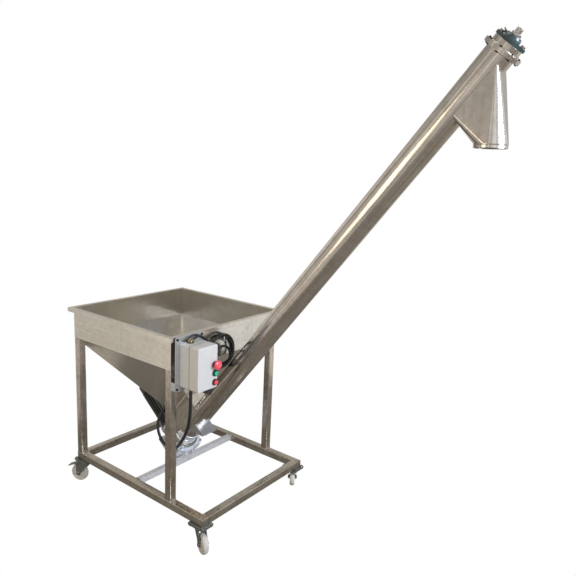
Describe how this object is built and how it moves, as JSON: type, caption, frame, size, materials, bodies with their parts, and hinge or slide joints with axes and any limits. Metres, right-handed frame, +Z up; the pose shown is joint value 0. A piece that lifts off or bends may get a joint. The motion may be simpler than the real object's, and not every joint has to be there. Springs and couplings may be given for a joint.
{
  "type": "mobile screw conveyor",
  "caption": "Hopper-fed inclined screw conveyor with worm gearmotor, control box and round discharge spout on a castered frame.",
  "frame": {"origin": "on the floor under the middle of the object's box, cables left out", "axes": "+X from the hopper towards the discharge spout, +Z up, +Y away from the control box side"},
  "size_m": [2.1852, 0.8694, 2.3315],
  "materials": {
    "frame_steel": "satin",
    "hopper_steel": "satin",
    "tube_steel": "polished tube",
    "bright_steel": "machined",
    "flight_steel": "worn bright",
    "zinc_steel": "zinc plated",
    "bracket_steel": "satin",
    "wheel_nylon": "moulded",
    "pedal_steel": "zinc plated",
    "seal_rubber": "moulded",
    "bearing_green": "enamel",
    "wheel_bronze": "cast bronze",
    "gearbox_alloy": "bead blasted",
    "plate_paint": "blue-grey enamel",
    "motor_paint": "dark grey-green",
    "stator_iron": "laminations",
    "fan_plastic": "moulded",
    "box_paint": "powder coat",
    "bezel_plastic": "moulded",
    "green_plastic": "moulded",
    "red_plastic": "moulded",
    "gland_brass": "nickel worn brass",
    "cable_rubber": "extruded",
    "plug_plastic": "moulded"
  },
  "bodies": {
    "frame": {"base_rail_near": "frame_steel", "base_rail_far": "frame_steel", "base_rail_rear": "frame_steel", "base_rail_front": "frame_steel", "crossbar": "bright_steel", "leg_rear_near": "frame_steel", "leg_rear_far": "frame_steel", "leg_front_near": "frame_steel", "leg_front_far": "frame_steel", "caster_mount_plates": "zinc_steel", "caster_top_plates": "zinc_steel", "hopper_skirt": "hopper_steel", "hopper_cone": "hopper_steel", "feed_boot": "hopper_steel", "cleanout_sump": "hopper_steel", "cleanout_cover": "hopper_steel", "conveyor_tube": "tube_steel", "lower_flange": "tube_steel", "shaft_seal": "seal_rubber", "end_cover": "tube_steel", "discharge_spout": "tube_steel", "bearing_housing": "bearing_green", "gearbox_housing": "gearbox_alloy", "gearbox_side_covers": "gearbox_alloy", "drive_mount_plate": "plate_paint", "motor_housing": "motor_paint", "motor_stator": "stator_iron", "motor_end_shields": "motor_paint", "fan_cover": "motor_paint", "terminal_box": "motor_paint", "box_bracket": "bracket_steel", "control_box_body": "box_paint", "control_box_lid": "box_paint", "button_bezels": "bezel_plastic", "cable_glands": "gland_brass", "motor_cable": "cable_rubber", "supply_lead": "cable_rubber", "supply_tail": "cable_rubber", "supply_coil": "cable_rubber", "supply_plug": "plug_plastic", "cable_hook": "bright_steel"},
    "screw": {"screw_shaft": "bright_steel", "screw_flights": "flight_steel", "bearing_inner_ring": "bright_steel", "worm_wheel": "wheel_bronze"},
    "rotor": {"worm_shaft": "bright_steel", "motor_fan": "fan_plastic"},
    "start_key": {"start_button": "green_plastic"},
    "stop_key": {"stop_button": "red_plastic"},
    "estop_key": {"estop_button": "red_plastic"},
    "swivel_front_near": {"caster_fork_front_near": "zinc_steel"},
    "wheel_front_near": {"caster_wheel_front_near": "wheel_nylon"},
    "swivel_front_far": {"caster_fork_front_far": "zinc_steel"},
    "wheel_front_far": {"caster_wheel_front_far": "wheel_nylon"},
    "swivel_rear_near": {"caster_fork_rear_near": "zinc_steel"},
    "wheel_rear_near": {"caster_wheel_rear_near": "wheel_nylon"},
    "pedal_rear_near": {"brake_pedal_rear_near": "pedal_steel"},
    "swivel_rear_far": {"caster_fork_rear_far": "zinc_steel"},
    "wheel_rear_far": {"caster_wheel_rear_far": "wheel_nylon"},
    "pedal_rear_far": {"brake_pedal_rear_far": "pedal_steel"}
  },
  "joints": [
    {"name": "screw_spin", "type": "hinge", "parent": "frame", "child": "screw", "pos_m": [0.21932, -0.00818, 1.26861], "axis": [0.627, 0, 0.779], "continuous": true},
    {"name": "rotor_spin", "type": "hinge", "parent": "frame", "child": "rotor", "pos_m": [-0.60959, 0.05482, 0.23876], "axis": [0.779, 0, -0.627], "continuous": true},
    {"name": "swivel_front_near_turn", "type": "hinge", "parent": "frame", "child": "swivel_front_near", "pos_m": [-0.0505, -0.37768, 0.12], "axis": [0, 0, 1], "continuous": true},
    {"name": "wheel_front_near_roll", "type": "hinge", "parent": "swivel_front_near", "child": "wheel_front_near", "pos_m": [-0.01852, -0.39192, 0.05], "axis": [0.4067, 0.9135, 0], "continuous": true},
    {"name": "swivel_front_far_turn", "type": "hinge", "parent": "frame", "child": "swivel_front_far", "pos_m": [-0.0505, 0.36132, 0.12], "axis": [0, 0, 1], "continuous": true},
    {"name": "wheel_front_far_roll", "type": "hinge", "parent": "swivel_front_far", "child": "wheel_front_far", "pos_m": [-0.07082, 0.38981, 0.05], "axis": [-0.8141, -0.5807, 0], "continuous": true},
    {"name": "swivel_rear_near_turn", "type": "hinge", "parent": "frame", "child": "swivel_rear_near", "pos_m": [-0.9925, -0.37768, 0.12], "axis": [0, 0, 1], "continuous": true},
    {"name": "wheel_rear_near_roll", "type": "hinge", "parent": "swivel_rear_near", "child": "wheel_rear_near", "pos_m": [-1.02447, -0.39192, 0.05], "axis": [0.4067, -0.9135, 0], "continuous": true},
    {"name": "pedal_rear_near_press", "type": "hinge", "parent": "swivel_rear_near", "child": "pedal_rear_near", "pos_m": [-1.02721, -0.39314, 0.107], "axis": [0.4067, -0.9135, 0], "range_deg": [0, 7]},
    {"name": "swivel_rear_far_turn", "type": "hinge", "parent": "frame", "child": "swivel_rear_far", "pos_m": [-0.9925, 0.36132, 0.12], "axis": [0, 0, 1], "continuous": true},
    {"name": "wheel_rear_far_roll", "type": "hinge", "parent": "swivel_rear_far", "child": "wheel_rear_far", "pos_m": [-1.02281, 0.37882, 0.05], "axis": [-0.5, -0.866, 0], "continuous": true},
    {"name": "pedal_rear_far_press", "type": "hinge", "parent": "swivel_rear_far", "child": "pedal_rear_far", "pos_m": [-1.02541, 0.38032, 0.107], "axis": [-0.5, -0.866, 0], "range_deg": [0, 7]},
    {"name": "start_press", "type": "slide", "parent": "frame", "child": "start_key", "axis": [-1, 0, 0], "range_m": [0, 0.004], "stiffness_N_per_m": 400, "springref_m": -0.003},
    {"name": "stop_press", "type": "slide", "parent": "frame", "child": "stop_key", "axis": [-1, 0, 0], "range_m": [0, 0.004], "stiffness_N_per_m": 400, "springref_m": -0.003},
    {"name": "estop_press", "type": "slide", "parent": "frame", "child": "estop_key", "axis": [-1, 0, 0], "range_m": [0, 0.004]}
  ],
  "couplings": [
    {"joint": "rotor_spin", "follows": "screw_spin", "ratio": 10}
  ]
}
